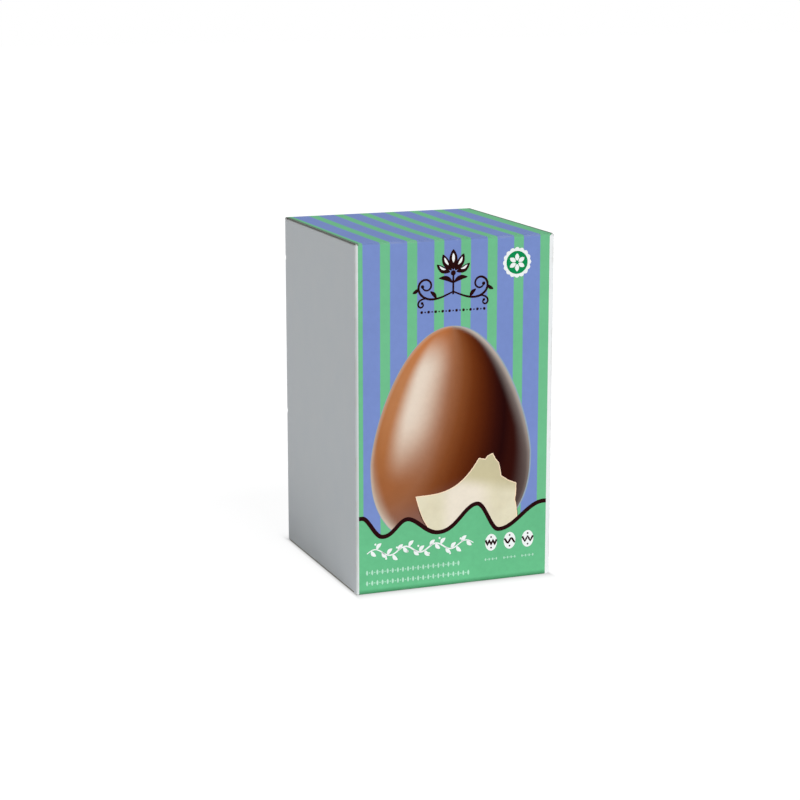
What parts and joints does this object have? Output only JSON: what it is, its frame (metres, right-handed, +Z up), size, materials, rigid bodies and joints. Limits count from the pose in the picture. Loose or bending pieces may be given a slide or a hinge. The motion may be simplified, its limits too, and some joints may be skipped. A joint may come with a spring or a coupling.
{
  "type": "printed folding carton of a boxed chocolate egg",
  "caption": "Shut upright folding carton of white board, nearly square in plan, with a striped front and lid, a picture of a chocolate egg and a wavy band.",
  "frame": {"origin": "middle of the base, on the surface that the carton stands on", "axes": "+Z up, -Y out of the printed front, +X towards the right-hand wall as seen from the front"},
  "size_m": [0.12, 0.124, 0.2],
  "materials": {
    "coated_board": "white coated carton board, satin",
    "cut_board_edge": "raw cut edge of the board, matt",
    "lavender_ink": "printed and sealed, satin",
    "green_ink": "printed and sealed, satin",
    "deep_green_ink": "printed and sealed, satin",
    "brown_ink": "printed and sealed, satin",
    "white_ink": "printed and sealed, satin",
    "egg_print": "printed brown shading, sealed, satin",
    "cream_ink": "printed and sealed, satin"
  },
  "bodies": {
    "root": {"carton": "coated_board"}
  },
  "joints": []
}
